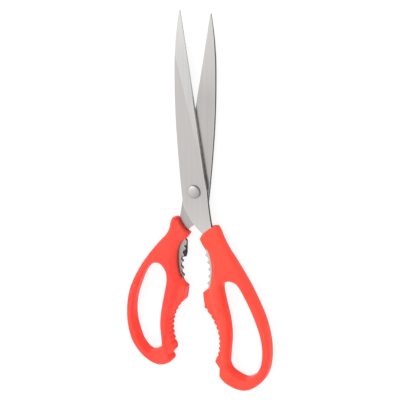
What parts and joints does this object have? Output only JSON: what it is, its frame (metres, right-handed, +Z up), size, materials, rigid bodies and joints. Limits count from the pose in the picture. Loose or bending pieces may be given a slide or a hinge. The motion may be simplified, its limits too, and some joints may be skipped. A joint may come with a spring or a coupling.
{
  "type": "florist scissors",
  "caption": "Long straight-bladed florist scissors with riveted steel blades, coral finger loops, a toothed nut jaw and a ribbed cap grip between the loops.",
  "frame": {"origin": "centre of the bounding box, on the plane that the flat backs of the handles lie on", "axes": "scissors lying flat and a little open: +Y towards the blade tips, +X towards the finger loop, +Z up, square to the blades"},
  "size_m": [0.1022, 0.2466, 0.0088],
  "materials": {
    "blade_steel": "brushed along the blade, ground lighter towards the cutting edge",
    "coral_plastic": "satin injection moulding",
    "rivet_steel": "domed and polished"
  },
  "bodies": {
    "rear_half": {"rear_blade": "blade_steel", "rear_handle": "coral_plastic", "pivot_rivet": "rivet_steel", "rivet_washer": "rivet_steel"},
    "front_half": {"front_blade": "blade_steel", "front_handle": "coral_plastic"}
  },
  "joints": [
    {"name": "pivot", "type": "hinge", "parent": "rear_half", "child": "front_half", "pos_m": [-0.00184, 0.00916, 0.0044], "axis": [0, 0, 1], "range_deg": [-10.7, 49.3]}
  ]
}
